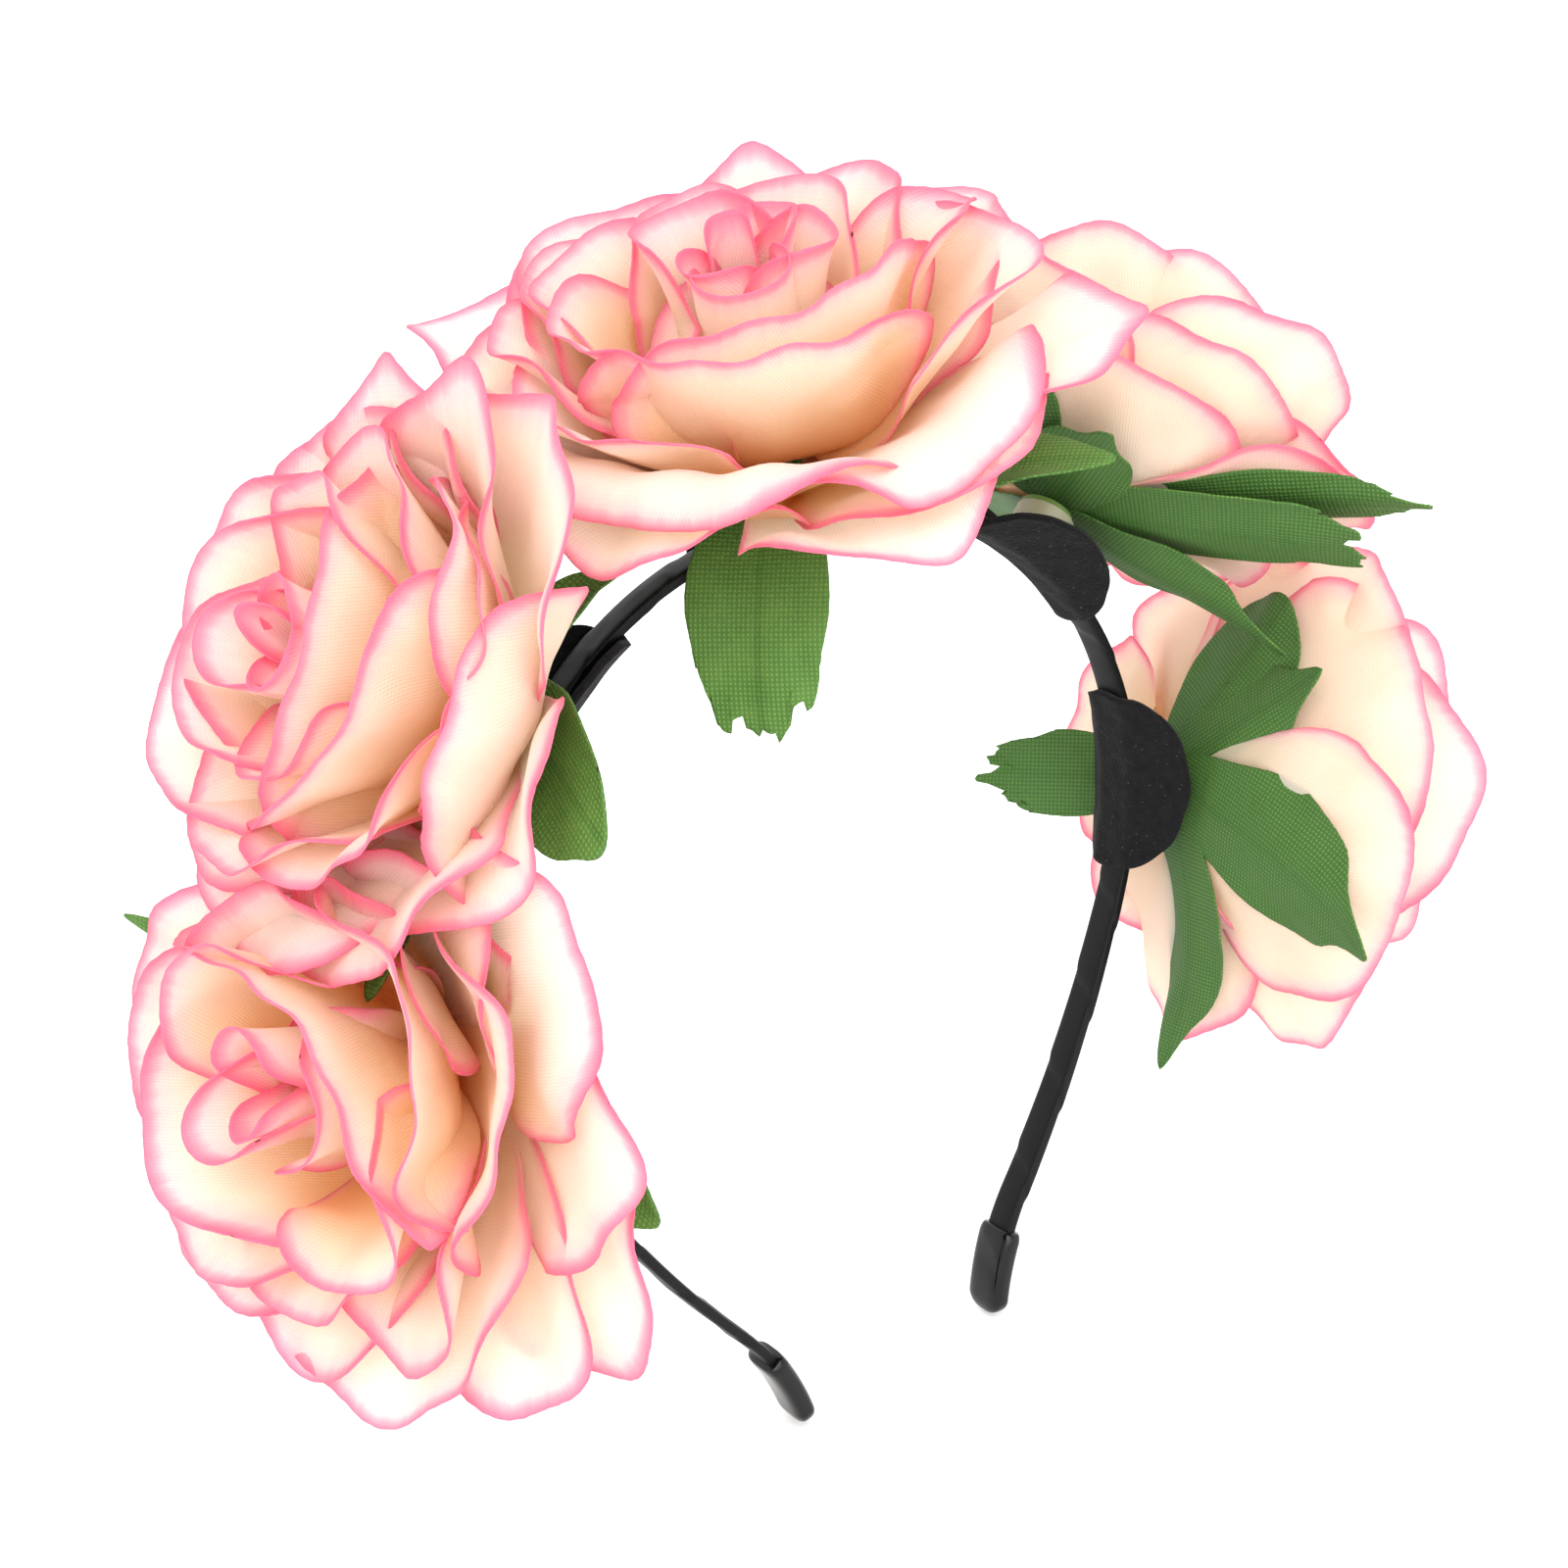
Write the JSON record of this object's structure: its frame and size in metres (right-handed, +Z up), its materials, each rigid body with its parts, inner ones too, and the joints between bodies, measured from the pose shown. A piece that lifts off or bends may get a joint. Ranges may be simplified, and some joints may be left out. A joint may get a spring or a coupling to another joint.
{
  "type": "flower crown headband",
  "caption": "Wrapped spring headband with a row of large two-tone fabric roses, green leaf calyxes and felt backing pads.",
  "frame": {"origin": "middle of the head opening, half way across the band and below its crown", "axes": "+Z up through the crown, +X to the side of the fifth rose, band in the X-Z plane and its width along Y"},
  "size_m": [0.2371, 0.1044, 0.2082],
  "materials": {
    "spring_steel": "rolled spring strip",
    "satin_ribbon": "black satin ribbon, wound on the slant",
    "cap_rubber": "glossy dipped black",
    "black_felt": "matt needled felt",
    "hot_glue": "milky hot-melt glue",
    "stem_plastic": "moulded green plastic",
    "leaf_cloth": "coarse printed plain weave",
    "petal_cloth": "fine ribbed cloth, cream to peach with a pink dyed rim"
  },
  "bodies": {
    "crown": {"spring_crown": "spring_steel", "ribbon_crown": "satin_ribbon", "felt_pad_1": "black_felt", "felt_pad_2": "black_felt", "felt_pad_3": "black_felt", "felt_pad_4": "black_felt", "felt_pad_5": "black_felt", "glue_1": "hot_glue", "glue_2": "hot_glue", "glue_3": "hot_glue", "glue_4": "hot_glue", "glue_5": "hot_glue", "stem_1": "stem_plastic", "stem_2": "stem_plastic", "stem_3": "stem_plastic", "stem_4": "stem_plastic", "stem_5": "stem_plastic", "calyx_1": "leaf_cloth", "calyx_2": "leaf_cloth", "calyx_3": "leaf_cloth", "calyx_4": "leaf_cloth", "calyx_5": "leaf_cloth", "outer_petals_1": "petal_cloth", "outer_petals_2": "petal_cloth", "outer_petals_3": "petal_cloth", "outer_petals_4": "petal_cloth", "outer_petals_5": "petal_cloth", "middle_petals_1": "petal_cloth", "middle_petals_2": "petal_cloth", "middle_petals_3": "petal_cloth", "middle_petals_4": "petal_cloth", "middle_petals_5": "petal_cloth", "inner_petals_1": "petal_cloth", "inner_petals_2": "petal_cloth", "inner_petals_3": "petal_cloth", "inner_petals_4": "petal_cloth", "inner_petals_5": "petal_cloth", "bud_1": "petal_cloth", "bud_2": "petal_cloth", "bud_3": "petal_cloth", "bud_4": "petal_cloth", "bud_5": "petal_cloth"},
    "left_arm": {"spring_left_arm": "spring_steel", "ribbon_left_arm": "satin_ribbon", "end_cap_left": "cap_rubber"},
    "right_arm": {"spring_right_arm": "spring_steel", "ribbon_right_arm": "satin_ribbon", "end_cap_right": "cap_rubber"}
  },
  "joints": [
    {"name": "left_arm_flex", "type": "hinge", "parent": "crown", "child": "left_arm", "pos_m": [-0.06006, 0, -0.02184], "axis": [0, 1, 0], "range_deg": [0, 25], "stiffness_Nm_per_rad": 0.4},
    {"name": "right_arm_flex", "type": "hinge", "parent": "crown", "child": "right_arm", "pos_m": [0.06006, 0, -0.02184], "axis": [0, -1, 0], "range_deg": [0, 25], "stiffness_Nm_per_rad": 0.4}
  ]
}
